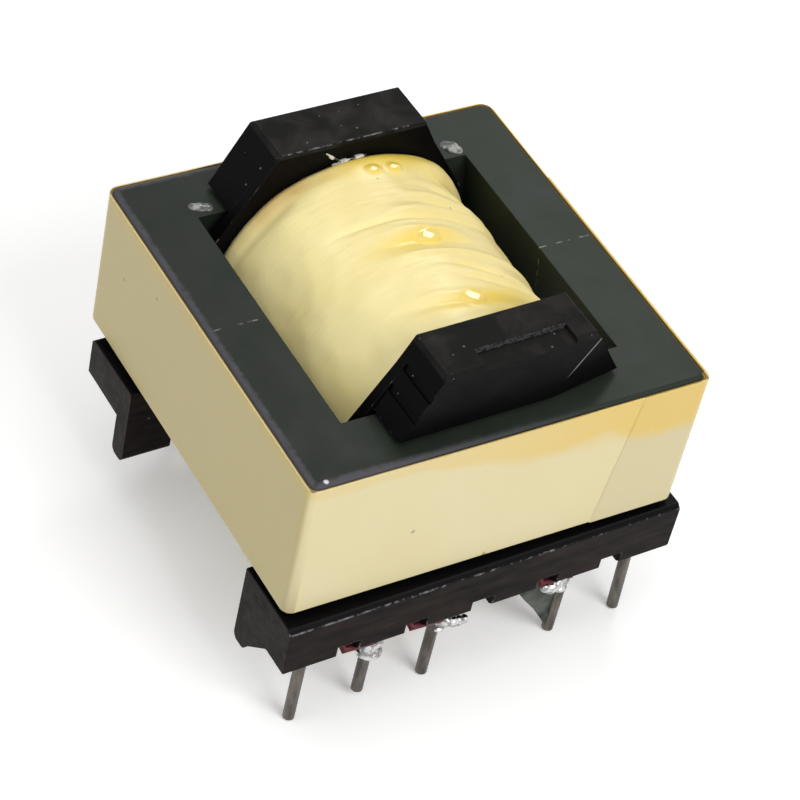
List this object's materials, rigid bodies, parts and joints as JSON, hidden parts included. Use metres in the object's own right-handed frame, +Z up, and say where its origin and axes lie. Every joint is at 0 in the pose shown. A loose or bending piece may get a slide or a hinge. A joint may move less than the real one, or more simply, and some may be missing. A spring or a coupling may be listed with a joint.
{
  "type": "high frequency transformer",
  "caption": "Ferrite-core switching transformer with a round centre post, a black moulded bobbin on solder pins, a varnished cream tape-wrapped coil and cream tape round the core.",
  "frame": {"origin": "centre of the pin field on the circuit board's plane, where the bobbin's feet stand", "axes": "+X along the pin rows, +Y from the front row to the back row, +Z up, away from the board"},
  "size_m": [0.0296, 0.0294, 0.0271],
  "materials": {
    "ferrite": "satin",
    "core_tape": "satin",
    "wrap_tape": "gloss",
    "phenolic": "satin",
    "copper_wire": "gloss",
    "tinned_pin": "satin",
    "solder": "gloss"
  },
  "bodies": {
    "root": {"core_half_front": "ferrite", "core_half_back": "ferrite", "core_tape": "core_tape", "bobbin": "phenolic", "primary_winding_inner": "copper_wire", "insulation_tape_inner": "wrap_tape", "secondary_winding": "copper_wire", "insulation_tape_outer": "wrap_tape", "primary_winding_outer": "copper_wire", "winding_wrap": "wrap_tape", "pin_1": "tinned_pin", "pin_2": "tinned_pin", "pin_3": "tinned_pin", "pin_5": "tinned_pin", "pin_6": "tinned_pin", "pin_7": "tinned_pin", "pin_8": "tinned_pin", "pin_9": "tinned_pin", "pin_10": "tinned_pin", "pin_11": "tinned_pin", "lead_wire_2": "copper_wire", "solder_joint_2": "solder", "lead_wire_3": "copper_wire", "solder_joint_3": "solder", "lead_wire_5": "copper_wire", "solder_joint_5": "solder", "lead_wire_8": "copper_wire", "solder_joint_8": "solder", "lead_wire_10": "copper_wire", "solder_joint_10": "solder", "lead_wire_11": "copper_wire", "solder_joint_11": "solder"}
  },
  "joints": []
}
